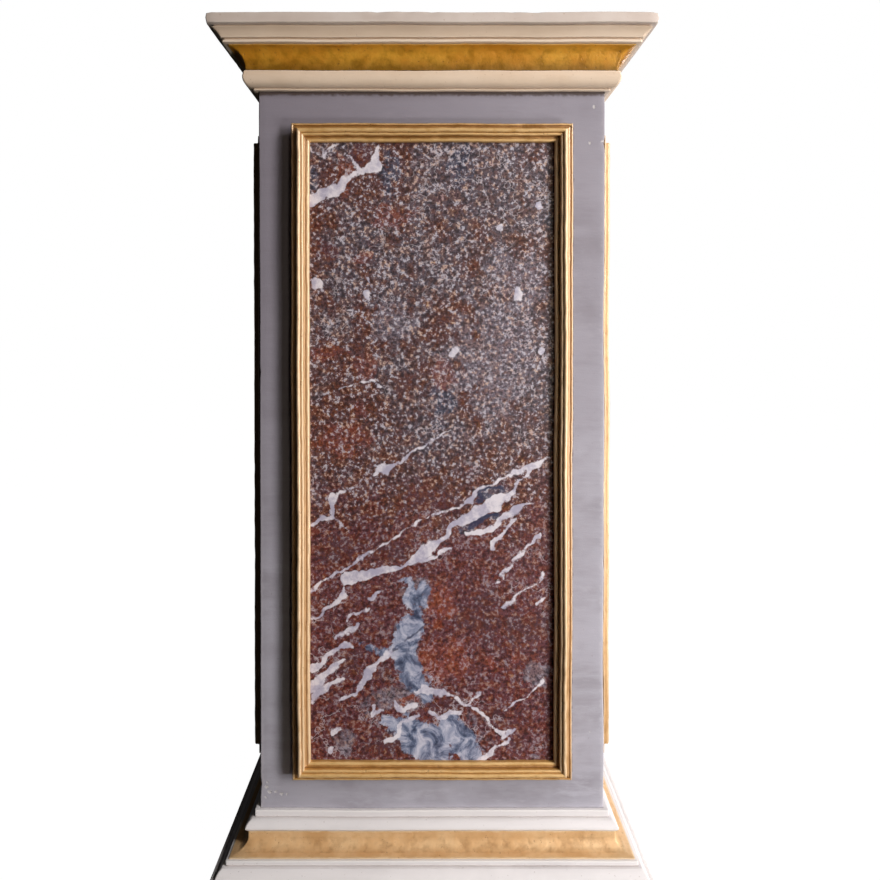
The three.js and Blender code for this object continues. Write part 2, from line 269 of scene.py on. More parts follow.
def outward(points, faces):
    """The faces, all turned round if the volume that the quads enclose is negative."""
    quads = points[np.array([face for face in faces if len(face) == 4])]
    quads = quads - points.mean(axis=0)
    halves = np.cross(quads[:, 1], quads[:, 2]) + np.cross(quads[:, 2], quads[:, 3])
    volume = (halves * quads[:, 0]).sum()
    return faces if volume > 0 else [face[::-1] for face in faces]


def ring_quads(rings, around):
    """Quads between neighbouring rings, each of which is closed."""
    ring = np.arange(around)
    step = np.roll(ring, -1)
    rows = np.arange(rings - 1)[:, None] * around
    corners = (rows + ring, rows + step, rows + around + step, rows + around + ring)
    return np.stack(corners, axis=2).reshape(-1, 4).tolist()


def tube_faces(rings, around):
    """Quads of a tube of closed rings, with a face over each end."""
    last = (rings - 1) * around
    ring = list(range(around))
    return ring_quads(rings, around) + [ring[::-1], [last + i for i in ring]]


def end_outline(node, turns, axis):
    """The corners of a straight length's far end in order, and the middle of its length."""
    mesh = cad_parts[node].data
    points = np.empty(len(mesh.vertices) * 3)
    mesh.vertices.foreach_get("co", points)
    points = turned(points.reshape(-1, 3) * METRE, -turns)
    places, index = np.unique(np.round(points, 2), axis=0, return_inverse=True)
    triangles = index.ravel()[np.array([polygon.vertices[:] for polygon in mesh.polygons])]
    middle = (places[:, axis].min() + places[:, axis].max()) / 2
    far = places[:, axis] > middle
    caps = triangles[far[triangles].all(axis=1)].tolist()
    edges = {(a, b) for t in caps for a, b in zip(t, t[1:] + t[:1])}
    following = {a: b for a, b in edges if (b, a) not in edges}
    order = [min(following)]
    while following[order[-1]] != order[0]:
        order.append(following[order[-1]])
    return places[order], middle


def turns_of(outline):
    """How far the outline turns at each corner, and the lengths of the sides after them."""
    ahead = np.roll(outline, -1, axis=0) - outline
    behind = np.roll(ahead, 1, axis=0)
    cross = behind[:, 0] * ahead[:, 1] - behind[:, 1] * ahead[:, 0]
    return np.arctan2(cross, (behind * ahead).sum(axis=1)), np.linalg.norm(ahead, axis=1)


def softened(outline, radius):
    """The outline with its sharp corners rounded."""
    turns, sides = turns_of(outline)
    rounded = []
    for i, corner in enumerate(outline):
        if abs(turns[i]) < CORNER_TURN:
            rounded.append(corner)
            continue
        before, after = outline[i - 1], outline[(i + 1) % len(outline)]
        half_tangent = math.tan(abs(turns[i]) / 2)
        reach = min(radius * half_tangent, ARRIS_SHARE * sides[i - 1], ARRIS_SHARE * sides[i])
        start = corner + (before - corner) * reach / sides[i - 1]
        end = corner + (after - corner) * reach / sides[i]
        for share in np.linspace(0, 1, ARRIS_PIECES + 1):
            along = (1 - share) * start + share * end
            bulge = 2 * share * (1 - share)
            rounded.append(along + bulge * (corner - (start + end) / 2))
    return np.array(rounded)


def refined(outline):
    """The outline with each gentle curve's pieces halved, and its long sides divided."""
    turns, sides = turns_of(outline)
    count = len(outline)
    finer = []
    for i, corner in enumerate(outline):
        following = outline[(i + 1) % count]
        finer.append(corner)
        gentle = max(abs(turns[i]), abs(turns[(i + 1) % count])) < CORNER_TURN
        if gentle and SHORTEST_HALVED < sides[i] < PROFILE_STEP:
            outer = outline[i - 1] + outline[(i + 2) % count]
            finer.append((9 * (corner + following) - outer) / 16)
        else:
            pieces = math.ceil(sides[i] / PROFILE_STEP)
            finer.extend(corner + (following - corner) * k / pieces for k in range(1, pieces))
    return np.array(finer)


def relief_of(outline):
    """How proud each point of an outline stands of what is round it, from -1 to 1."""
    closed = np.vstack([outline, outline[:1]])
    lengths = np.linalg.norm(np.diff(closed, axis=0), axis=1)
    travel = np.concatenate([[0], np.cumsum(lengths)])
    count = math.ceil(travel[-1] / RELIEF_SPACING)
    stops = np.arange(count) * travel[-1] / count
    dense = np.stack([np.interp(stops, travel, closed[:, k]) for k in (0, 1)], axis=1)
    window = round(RELIEF_WINDOW / RELIEF_SPACING)
    kernel = np.ones(2 * window + 1) / (2 * window + 1)
    wrapped = np.vstack([dense[-window:], dense, dense[:window]])
    mean = np.stack([np.convolve(wrapped[:, k], kernel, "valid") for k in (0, 1)], axis=1)
    tangent = np.roll(dense, -1, axis=0) - np.roll(dense, 1, axis=0)
    area = (dense[:, 0] * np.roll(dense[:, 1], -1) - dense[:, 1] * np.roll(dense[:, 0], -1)).sum()
    normal = np.stack([tangent[:, 1], -tangent[:, 0]], axis=1) * math.copysign(1, area)
    normal /= np.linalg.norm(normal, axis=1, keepdims=True) + TINY
    proud = ((dense - mean) * normal).sum(axis=1) / RELIEF_FULL
    at_points = np.interp(travel[:-1], stops, proud, period=travel[-1])
    return np.clip(at_points, -1, 1)


def end_distances(half):
    """Distances from a mitre to the middle of a length, close together near the mitre."""
    plain = half - MITRE_STATIONS[-1]
    count = math.ceil(plain / LENGTH_STEP)
    even = [half - plain * (1 - k / count) for k in range(1, count + 1)]
    return np.array([*MITRE_STATIONS, *even])


def straight_length(node, turns, axis, slot, finish, corner, arris, lump_depth, centre=0):
    """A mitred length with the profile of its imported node, finely divided and made by hand.

    axis is the one that the length runs along, LEVEL or UPRIGHT.
    corner is the radius that its outer mitres are worn to. centre is the height of the middle
    of a frame's rail, from which the field "inward" counts the millimetres from its outer edge.
    """
    ends, middle = end_outline(node, turns, axis)
    across = [1, 2] if axis == LEVEL else [0, 1]
    outline = refined(softened(ends[:, across], arris))
    known = np.column_stack([ends[:, across], np.ones(len(ends))])
    slope = np.linalg.lstsq(known, ends[:, axis] - middle, rcond=None)[0]
    half = outline @ slope[:2] + slope[2] + MITRE_CLOSING
    longest = half.max()
    share = 1 - end_distances(longest) / longest
    share = np.concatenate([share, -share[-2::-1]])
    from_end = (1 - np.abs(share))[:, None] * half[None, :]
    angle = math.pi / 4 * np.clip(1 - from_end / max(corner, TINY), 0, 1)
    depth = outline[:, across.index(1)]
    standing = np.clip((depth.max() - depth) / WEAR_START, 0, 1)
    worn = (angle > 0) * standing
    along = half - (1 - worn) * from_end - worn * corner * (1 - np.sin(angle))
    points = np.zeros((len(share), len(outline), 3))
    points[:, :, across] = outline
    points[:, :, axis] = middle + np.sign(share)[:, None] * along
    points[:, :, 1] += worn * corner * (1 - np.cos(angle))
    points = hand_made(turned(points.reshape(-1, 3), turns), lump_depth)
    from_centre = np.abs(outline[:, 1 - across.index(1)] - centre)
    fields = {
        "relief": np.tile(relief_of(outline), len(share)),
        "inward": np.tile(from_centre.max() - from_centre, len(share)),
    }
    new_piece(node, points, tube_faces(len(share), len(outline)), finish, fields)


def shaft_board(node, turns, finish):
    """One upright board of the shaft, with its half of each rounded corner."""
    low, high = box_of("front_shaft_board")
    face = -low[1]
    angles = np.linspace(0, math.pi / 4, ARRIS_PIECES + 1)
    flat = face - SHAFT_CORNER
    corner_x = flat + SHAFT_CORNER * np.sin(angles)
    corner_y = -flat - SHAFT_CORNER * np.cos(angles)
    inner = face - SHAFT_BOARD_THICKNESS
    count = math.ceil(2 * flat / SHAFT_STEP)
    face_x = np.linspace(-flat, flat, count + 1)[1:-1]
    plan = [(-x, y) for x, y in zip(corner_x[::-1], corner_y[::-1])]
    plan += [(x, -face) for x in face_x]
    plan += list(zip(corner_x, corner_y))
    plan += [(inner, -inner), (-inner, -inner)]
    plan = np.array(plan)
    heights = np.linspace(low[2], high[2], math.ceil((high[2] - low[2]) / SHAFT_STEP) + 1)
    points = np.zeros((len(heights), len(plan), 3))
    points[:, :, :2] = plan
    points[:, :, 2] = heights[:, None]
    frame_low, frame_high = framed_area()
    beside = np.abs(points[:, :, 0]) - frame_high[0]
    above = np.abs(points[:, :, 2] - (frame_low[2] + frame_high[2]) / 2)
    above -= (frame_high[2] - frame_low[2]) / 2
    from_frame = np.maximum(beside, above).ravel()
    points = hand_made(turned(points.reshape(-1, 3), turns), PAINT_LUMP_DEPTH)
    relief = np.tile(np.abs(plan[:, 0]) >= flat, len(heights)) * 1.0
    faces = tube_faces(len(heights), len(plan))
    fields = {"relief": relief, "from_frame": from_frame}
    new_piece(node, points, faces, finish, fields)


def square_ring(half, corner):
    """A rounded square in plan, with the same number of points at every size."""
    reach = cad_high.x * METRE
    per_side = math.ceil(2 * reach / BOARD_STEP)
    straight = half - corner
    side = [(x, -half) for x in np.linspace(-straight, straight, per_side + 1)]
    angles = np.linspace(0, math.pi / 2, CORNER_PIECES + 1)[1:-1]
    side += [(straight + corner * math.sin(a), -straight - corner * math.cos(a)) for a in angles]
    flat = np.array([(x, y, 0.0) for x, y in side])
    return np.vstack([turned(flat, turns) for turns in range(4)])


def square_board(node, finish, corner, arris):
    """A square board with a rounded edge all round."""
    low, high = box_of(node)
    half = high[0]
    angles = np.linspace(0, math.pi / 2, EDGE_PIECES + 1)
    edge = [(arris * (1 - math.sin(a)), arris * (1 - math.cos(a))) for a in angles]
    on_face = (half - INNERMOST_RING, half * MIDDLE_RING, *OUTER_RINGS)
    insets = [(inset, 0) for inset in on_face] + edge
    lower = [(inset, low[2] + rise) for inset, rise in insets]
    upper = [(inset, high[2] - rise) for inset, rise in insets[::-1]]
    levels = math.ceil((high[2] - low[2] - 2 * arris) / BOARD_STEP)
    between = np.linspace(low[2] + arris, high[2] - arris, levels + 1)[1:-1]
    profile = lower + [(0, height) for height in between] + upper
    rings = []
    for inset, height in profile:
        ring = square_ring(half - inset, max(corner - inset, SMALLEST_CORNER))
        ring[:, 2] = height
        rings.append(ring)
    points = hand_made(np.vstack(rings), PAINT_LUMP_DEPTH)
    near_edge = np.array([0 < inset < 2 * arris for inset, _ in profile]) * 1.0
    relief = np.repeat(near_edge, len(rings[0]))
    faces = tube_faces(len(rings), len(rings[0]))
    new_piece(node, points, faces, finish, {"relief": relief})


# Marble: each vein is a stroke through points (right of the middle, above the underside, width)
FRONT_VEINS = (
    ((-121, 925, 2.5), (-127, 918, 2.5), (-133, 909, 2.5), (-138, 910, 2.5)),
    ((-150, 853, 17), (-132, 863, 15), (-116, 867, 14), (-107, 877, 7.5), (-92, 888, 5),
     (-80, 892, 5), (-70, 898, 11), (-68, 920, 4)),
    ((-107, 913, 2), (-100, 905, 2.5), (-96, 898, 4), (-92, 890, 5)),
    ((-106, 721, 2), (-89, 709, 2), (-75, 696, 2)),
    ((-86, 768, 2), (-71, 742, 2)),
    ((-117, 617, 2), (-100, 625, 2), (-77, 629, 2), (-66, 623, 2)),
    ((-69, 516, 5), (-55, 519, 6), (-46, 526, 2.5), (-33, 531, 2.5), (-12, 550, 2),
     (9, 560, 2), (22, 567, 1.5)),
    ((-150, 450, 2.5), (-138, 457, 5), (-126, 459, 6), (-125, 472, 6), (-124, 482, 11),
     (-115, 488, 2.5), (-100, 495, 1.5)),
    ((-124, 459, 1.5), (-106, 440, 1.5)),
    ((-150, 366, 2.5), (-132, 379, 2.5), (-109, 397, 3.5), (-77, 413, 2), (-50, 432, 1.8),
     (-18, 453, 1.8), (-4, 459, 1.8), (30, 472, 1.8), (51, 483, 6), (68, 496, 2.5),
     (103, 515, 2.5), (124, 522, 5), (145, 532, 2.5)),
    ((-107, 383, 15), (-75, 387, 11), (-52, 392, 7.5), (-35, 396, 4.3), (-25, 404, 7.5),
     (-14, 415, 14), (-2, 423, 12.5), (15, 434, 6), (24, 447, 10), (45, 457, 12.5),
     (57, 468, 15), (82, 478, 17.5), (93, 484, 10), (99, 491, 6), (105, 505, 2.5),
     (118, 510, 2.5), (122, 518, 3.7), (135, 526, 3.7)),
    ((41, 438, 2.5), (57, 440, 7.5), (72, 444, 7.5), (84, 455, 5), (97, 463, 8.7),
     (110, 472, 8.7), (120, 477, 1.5)),
    ((-14, 406, 5), (5, 411, 3.7), (26, 421, 2.5)),
    ((-110, 373, 2.5), (-109, 360, 7.5), (-119, 352, 6), (-134, 341, 3.7), (-149, 332, 3.7)),
    ((-81, 357, 3.7), (-61, 366, 3.7)),
    ((-106, 327, 2.5), (-94, 335, 2.5), (-79, 346, 2.5)),
    ((-122, 306, 2.5), (-111, 313, 3.7), (-97, 318, 6), (-88, 325, 3.7)),
    ((77, 419, 3.7), (82, 432, 5), (93, 444, 2), (102, 455, 3.7)),
    ((80, 377, 1.5), (98, 398, 2.5), (105, 409, 3.7), (118, 419, 2.5), (127, 432, 6),
     (135, 435, 5)),
    ((89, 347, 1.8), (110, 366, 1.8), (129, 377, 1.8), (141, 387, 1.8)),
    ((133, 351, 2.5), (144, 361, 2.5)),
    ((-150, 268, 10), (-142, 276, 7.5), (-129, 286, 5), (-118, 293, 5), (-107, 300, 7.5),
     (-101, 299, 3.7)),
    ((-149, 246, 15), (-139, 258, 10), (-128, 268, 7.5), (-117, 275, 5), (-107, 278, 1.5)),
    ((-149, 230, 3.7), (-138, 240, 12.5), (-125, 251, 6), (-114, 257, 3.7)),
    ((-115, 230, 2.5), (-106, 237, 3.7), (-92, 241, 3.7), (-81, 257, 11), (-79, 265, 8.7),
     (-72, 274, 5), (-62, 282, 7.5), (-51, 290, 3.7)),
    ((-21, 239, 6), (-9, 242, 12.5), (10, 241, 5), (27, 231, 2.5), (45, 223, 3.7),
     (55, 216, 5), (63, 206, 2.5), (76, 195, 2.5), (88, 187, 3.7)),
    ((45, 219, 2.5), (52, 229, 2.5), (61, 239, 2.5)),
    ((-2, 215, 6), (6, 206, 6), (17, 208, 3.7), (21, 215, 3.7), (38, 213, 3.7)),
    ((93, 215, 2), (104, 229, 2), (118, 236, 2), (129, 243, 2), (141, 253, 2)),
    ((-16, 209, 3.7), (-36, 202, 5), (-43, 188, 6), (-61, 177, 2.5)),
    ((61, 157, 7.5), (69, 164, 7.5), (80, 167, 3.7), (90, 173, 2.5), (97, 180, 2)),
    ((88, 181, 5), (101, 191, 5)),
    ((-47, 224, 5), (-42, 217, 7.5), (-19, 220, 2.5)),
    ((-74, 224, 3.7), (-71, 215, 3.7), (-61, 217, 3.7)),
    ((-145, 751, 11), (-144, 752, 11)),
    ((-81, 733, 8), (-81, 741, 8)),
    ((108, 733, 10), (107, 743, 8)),
    ((29, 665, 11), (31, 666, 9)),
    ((134, 666, 9), (134, 668, 9)),
    ((86, 818, 8), (88, 819, 8)),
    ((135, 847, 8), (135, 851, 7)),
    ((-120, 192, 8), (-119, 193, 8)),
    ((-128, 167, 7), (-127, 167, 7)),
)

# Dark cracks, as strokes like the veins
FRONT_CRACKS = (
    ((-51, 289, 2), (-36, 297, 2), (-30, 306, 2), (-18, 314, 2), (-5, 322, 1.5)),
    ((45, 445, 4), (52, 449, 9), (66, 460, 12), (80, 463, 5)),
    ((57, 481, 4), (66, 493, 6), (88, 496, 4)),
)

# Rivers of smooth blue-grey stone, as strokes like the veins
FRONT_RIVERS = (
    ((-32, 382, 10), (-27, 361, 15), (-19, 338, 23), (-27, 318, 36), (-37, 295, 30),
     (-32, 272, 28), (-17, 251, 28), (-7, 236, 20)),
    ((-10, 377, 10), (-16, 351, 15)),
    ((-86, 297, 5), (-68, 292, 11), (-50, 287, 15)),
    ((-58, 205, 13), (-35, 197, 30), (-17, 182, 48), (4, 166, 56)),
    ((24, 197, 38), (39, 177, 41), (47, 161, 33)),
)

# Patches of colour as (right of the middle, above the underside, half width, half height)
FRONT_PATCHES = {
    "blue": (
        (-50, 889, 14, 27), (14, 599, 20, 22), (-27, 316, 22, 8), (-31, 184, 28, 26),
        (72, 460, 13, 6), (44, 443, 11, 5), (75, 489, 24, 8), (146, 835, 5, 13),
        (32, 892, 16, 26), (-147, 885, 6, 14),
    ),
    "pale": (
        (-18, 360, 17, 29), (-34, 283, 16, 19), (35, 182, 28, 26), (-42, 232, 39, 18),
        (-106, 175, 14, 14), (128, 263, 14, 14), (132, 157, 9, 5), (72, 655, 62, 80),
        (110, 757, 38, 40), (-52, 705, 30, 26),
    ),
    "maroon": (
        (-132, 791, 18, 15), (-90, 908, 12, 14), (-99, 275, 15, 18), (-60, 261, 12, 10),
        (-59, 174, 34, 15), (21, 221, 23, 11), (77, 212, 14, 8), (101, 198, 18, 6),
        (107, 174, 11, 9), (-54, 412, 34, 16), (-120, 415, 26, 20), (60, 335, 40, 30),
        (110, 314, 40, 26), (-10, 485, 40, 18),
    ),
    "brick": (
        (-54, 833, 29, 15), (-85, 781, 12, 5), (-108, 879, 9, 25), (-84, 649, 17, 17),
        (14, 640, 16, 19), (-130, 663, 20, 12), (-86, 597, 16, 11), (-115, 554, 35, 23),
        (11, 355, 19, 25), (6, 324, 7, 6), (17, 279, 32, 29), (72, 274, 11, 10),
        (104, 279, 6, 6), (-29, 229, 12, 6),
    ),
}

# Random patches: their numbers and the range of their half widths and half heights
PATCH_COUNTS = {"blue": 8, "pale": 8, "maroon": 10, "brick": 9}
PATCH_HALF_WIDTHS = (10, 36)
PATCH_HALF_HEIGHTS = (8, 28)

# Random strokes: their numbers, headings in degrees, widths and how these swell, the number of
# their points, the spacing of the points and the bend at each
RANDOM_VEINS = 15
RANDOM_CRACKS = 4
RANDOM_RIVERS = 2
VEIN_HEADINGS = (15, 60)
VEIN_WIDTHS = (3, 4, 6, 11)
VEIN_SWELL = (0.4, 1.4)
VEIN_POINTS = (4, 12)
VEIN_SPACING = 17
VEIN_BEND = 0.35
SLAB_SEED = 40

# How many times as wide as a vein a random river is, and how far from a stroke its field goes
RIVER_SPREAD = 4
VEIN_REACH = 30

# How far a stroke strays from its course: length and depth of the bends
STRAY = ((26, 1.6), (9, 0.6))
STRAY_SEED = 20


def random_veins(draw, width, low, height):
    """Veins for a slab that the photograph doesn't show, rising to the right as the others do."""
    veins = []
    for _ in range(RANDOM_VEINS):
        x, z = draw.uniform(-width / 2, width / 3), low + draw.uniform(0, height)
        heading = math.radians(draw.uniform(*VEIN_HEADINGS))
        thick = draw.choice(VEIN_WIDTHS)
        vein = []
        for _ in range(int(draw.integers(*VEIN_POINTS))):
            vein.append((x, z, thick * draw.uniform(*VEIN_SWELL)))
            heading += draw.normal(0, VEIN_BEND)
            x += VEIN_SPACING * math.cos(heading)
            z += VEIN_SPACING * math.sin(heading)
        veins.append(vein)
    return veins


def random_patches(draw, width, low, height):
    """Patches of colour for a slab that the photograph doesn't show."""
    return {
        colour: [
            (draw.uniform(-width / 2, width / 2), low + draw.uniform(0, height),
             draw.uniform(*PATCH_HALF_WIDTHS), draw.uniform(*PATCH_HALF_HEIGHTS))
            for _ in range(count)
        ]
        for colour, count in PATCH_COUNTS.items()
    }


def vein_field(x, z, veins):
    """How deep each point lies inside the nearest vein, in millimetres, negative outside."""
    field = np.full(len(x), -float(VEIN_REACH))
    for vein in veins:
        for (x0, z0, w0), (x1, z1, w1) in zip(vein, vein[1:]):
            run = (x1 - x0) ** 2 + (z1 - z0) ** 2
            share = np.clip(((x - x0) * (x1 - x0) + (z - z0) * (z1 - z0)) / run, 0, 1)
            distance = np.hypot(x - x0 - share * (x1 - x0), z - z0 - share * (z1 - z0))
            field = np.maximum(field, (w0 + share * (w1 - w0)) / 2 - distance)
    return field


def patch_field(x, z, patches):
    """1 at the middle of a patch, 0 at its edge and less outside."""
    field = np.full(len(x), -1.0)
    for centre_x, centre_z, half_width, half_height in patches:
        away = np.hypot((x - centre_x) / half_width, (z - centre_z) / half_height)
        field = np.maximum(field, 1 - away)
    return field


def marble_slab(node, turns, finish):
    """A marble slab, with its veins and patches held as fields on a fine grid."""
    low, high = box_of("front_marble_slab")
    width, height = high[0] - low[0], high[2] - low[2]
    step = SLAB_STEP[SIDES[turns]]
    columns, rows = math.ceil(width / step) + 1, math.ceil(height / step) + 1
    x, z = np.meshgrid(np.linspace(low[0], high[0], columns), np.linspace(low[2], high[2], rows))
    front = np.stack([x.ravel(), np.full(x.size, low[1]), z.ravel()], axis=1)
    grid = np.arange(x.size).reshape(rows, columns)
    quads = np.stack([grid[:-1, :-1], grid[:-1, 1:], grid[1:, 1:], grid[1:, :-1]], axis=2)
    rim = np.concatenate([grid[0], grid[1:, -1], grid[-1, -2::-1], grid[-2:0:-1, 0]])
    back = front[rim] + np.array([0, high[1] - low[1], 0])
    ring = np.arange(x.size, x.size + len(rim))
    walls = np.stack([rim, ring, np.roll(ring, -1), np.roll(rim, -1)], axis=1)
    faces = quads.reshape(-1, 4).tolist() + walls.tolist() + [ring[::-1].tolist()]
    flat = np.vstack([front, back])
    if turns == 0:
        veins, cracks, rivers, patches = FRONT_VEINS, FRONT_CRACKS, FRONT_RIVERS, FRONT_PATCHES
    else:
        draw = np.random.default_rng(SLAB_SEED + turns)
        veins = random_veins(draw, width, low[2], height)
        cracks = random_veins(draw, width, low[2], height)[:RANDOM_CRACKS]
        patches = random_patches(draw, width, low[2], height)
        narrow = random_veins(draw, width, low[2], height)[:RANDOM_RIVERS]
        rivers = [[(x, z, RIVER_SPREAD * wide) for x, z, wide in river] for river in narrow]
    strayed = flat.copy()
    for number, (length, depth) in enumerate(STRAY):
        strayed += depth * drift(flat, length, seed=STRAY_SEED + number)
    x, z = strayed[:, 0], strayed[:, 2]
    strokes = {"vein": veins, "crack": cracks, "river": rivers}
    fields = {name: vein_field(x, z, kind) for name, kind in strokes.items()}
    fields |= {colour: patch_field(x, z, places) for colour, places in patches.items()}
    points = hand_made(turned(flat, turns), 0)
    new_piece(node, points, faces, finish, fields)


# Finishes

class Finish:
    """A material whose nodes are made with short calls."""

    def __init__(self, name):
        self.material = bpy.data.materials.new(name)
        self.material.use_nodes = True
        self.tree = self.material.node_tree
        self.surface = self.tree.nodes["Principled BSDF"].inputs
        self.place = self.tree.nodes.new("ShaderNodeTexCoord").outputs["Object"]

    def put(self, socket, value):
        """Links a node's output to a socket, or sets the socket to a plain value."""
        if isinstance(value, bpy.types.NodeSocket):
            self.tree.links.new(value, socket)
        else:
            socket.default_value = value

    def node(self, kind, inputs, **settings):
        """A shader node with its inputs and settings filled in."""
        node = self.tree.nodes.new("ShaderNode" + kind)
        for key, value in settings.items():
            setattr(node, key, value)
        for key, value in inputs.items():
            self.put(node.inputs[key], value)
        return node

    def field(self, name):
        """A number held on the mesh."""
        return self.node("Attribute", {}, attribute_name=name).outputs["Fac"]

    def noise(self, size, detail=2.0, roughness=0.55, distortion=0.0, stretch=None):
        """Smooth noise around 0.5 whose features are about size millimetres across.

        stretch scales each axis of the place first.
        """
        vector = self.place
        if stretch is not None:
            inputs = {0: self.place, 1: stretch}
            vector = self.node("VectorMath", inputs, operation="MULTIPLY").outputs["Vector"]
        inputs = {
            "Vector": vector, "Scale": METRE / size, "Detail": detail,
            "Roughness": roughness, "Distortion": distortion,
        }
        return self.node("TexNoise", inputs).outputs[0]

    def along(self, axis):
        """The place along X, Y or Z, in metres."""
        return self.node("SeparateXYZ", {0: self.place}).outputs[axis]

    def math(self, operation, a, b=0.0):
        return self.node("Math", {0: a, 1: b}, operation=operation).outputs[0]

    def step(self, value, low, high):
        """0 below low and 1 above high, smooth between. low may be the greater."""
        inputs = {"Value": value, "From Min": low, "From Max": high}
        return self.node("MapRange", inputs, interpolation_type="SMOOTHSTEP").outputs["Result"]

    def scaled(self, value, low, high):
        """A value from 0 to 1, scaled to run from low to high."""
        return self.node("MapRange", {"Value": value, "To Min": low, "To Max": high}).outputs["Result"]

    def strayed(self, value, noise, low, high):
        """A value that strays with a noise, by low to high."""
        return self.math("ADD", value, self.scaled(noise, low, high))

    def mix(self, share, a, b):
        """The colour a where share is 0, and b where it is 1."""
        return self.node("Mix", {0: share, 6: a, 7: b}, data_type="RGBA").outputs[2]

    def lay(self, base, colour, share, strength):
        """A colour over the base, as strong as share times strength."""
        return self.mix(self.math("MULTIPLY", share, strength), base, colour)

    def ramp(self, value, stops):
        """A colour for each value, through stops of (value, colour)."""
        node = self.node("ValToRGB", {"Fac": value})
        elements = node.color_ramp.elements
        while len(elements) < len(stops):
            elements.new(0.5)
        for element, (position, colour) in zip(elements, stops):
            element.position = position
            element.color = colour
        return node.outputs["Color"]

    def bump(self, height, depth, under=None):
        """A bump of the given depth in millimetres, over another bump if one is given."""
        inputs = {"Height": height, "Distance": depth / METRE, "Strength": 1.0}
        if under is not None:
            inputs["Normal"] = under
        return self.node("Bump", inputs).outputs["Normal"]

    def surfaced(self, colour, roughness, normal, specular, metallic=0.0):
        """Sets the shader. The last two are plain numbers, the same all over."""
        self.put(self.surface["Base Color"], colour)
        self.put(self.surface["Roughness"], roughness)
        self.put(self.surface["Normal"], normal)
        self.surface["Specular IOR Level"].default_value = specular
        self.surface["Metallic"].default_value = metallic
        return self.material


# How far each axis is scaled for brush marks: level all round, and looser on the shaft
LEVEL_STREAK = (0.12, 0.12, 1.5)
SHAFT_STREAK = (0.35, 0.35, 1.6)
BLOTCH_STREAK = (0.3, 0.3, 1.0)
PAINT_SHEEN = 0.3


def painted(name, colour, shade, grime, worn, grime_amount, streak=LEVEL_STREAK):
    """Old matt paint on wood: brush marks, dirt and painted shade in the quirks, and rubbed arrises.

    Gives the finish, its colour, its roughness and its bump, for more coats or for surfaced().
    """
    paint = Finish(name)
    relief = paint.field("relief")
    patches = paint.noise(70, detail=3, roughness=0.6)
    strokes = paint.noise(34, detail=4, roughness=0.62, stretch=streak)
    fine = paint.noise(9, detail=3, roughness=0.6, stretch=streak)
    base = paint.mix(paint.step(patches, 0.35, 0.68), shade, colour)
    base = paint.mix(paint.step(strokes, 0.3, 0.72), base, colour)
    specks = paint.step(paint.noise(2.6, detail=2), 0.68, 0.78)
    base = paint.lay(base, grime, specks, 0.5)
    # Dirt and painted shade darken the hollows
    hollow = paint.step(paint.strayed(relief, strokes, -0.25, 0.25), -0.12, -0.75)
    base = paint.lay(base, grime, hollow, grime_amount)
    proud = paint.step(paint.strayed(relief, fine, -0.55, 0.55), 0.5, 0.95)
    base = paint.lay(base, worn, proud, 0.6)
    normal = paint.bump(fine, 0.25)
    normal = paint.bump(paint.noise(1.8, detail=3, roughness=0.6), 0.12, normal)
    return paint, base, paint.scaled(strokes, 0.5, 0.72), normal


def plain_paint(name, **colours):
    """Old paint with nothing more over it."""
    paint, base, roughness, normal = painted(name, **colours)
    return paint.surfaced(base, roughness, normal, specular=PAINT_SHEEN)


# Flecks where the grey paint is chipped to its pale ground: right, up and radius
FLECKS = (
    (202, 971, 2.2), (197, 926, 1.4), (213, 928, 2.2), (199, 186, 1.6),
    (-208, 122, 1.6), (-208, 116, 2.6), (-205, 110, 2.8), (-197, 110, 2.4), (-190, 107, 2.4),
    (-183, 106, 1.8), (-209, 104, 2.0),
)
FLECK_EDGE = 1.2

# Dirt and painted shade below the cornice, as heights under it in metres, and beside the frame, in
# millimetres
JOINT_DIRT_AND_SHADE = (0.006, 0.002)
FRAME_DIRT_AND_SHADE = 4.0

# Heights and places in metres from which painted shade darkens the shaft, and where it is darkest
SHAFT_SHADE_HEIGHTS = (0.2, 1.05)
SHAFT_SHADE_ACROSS = (0.24, -0.24)


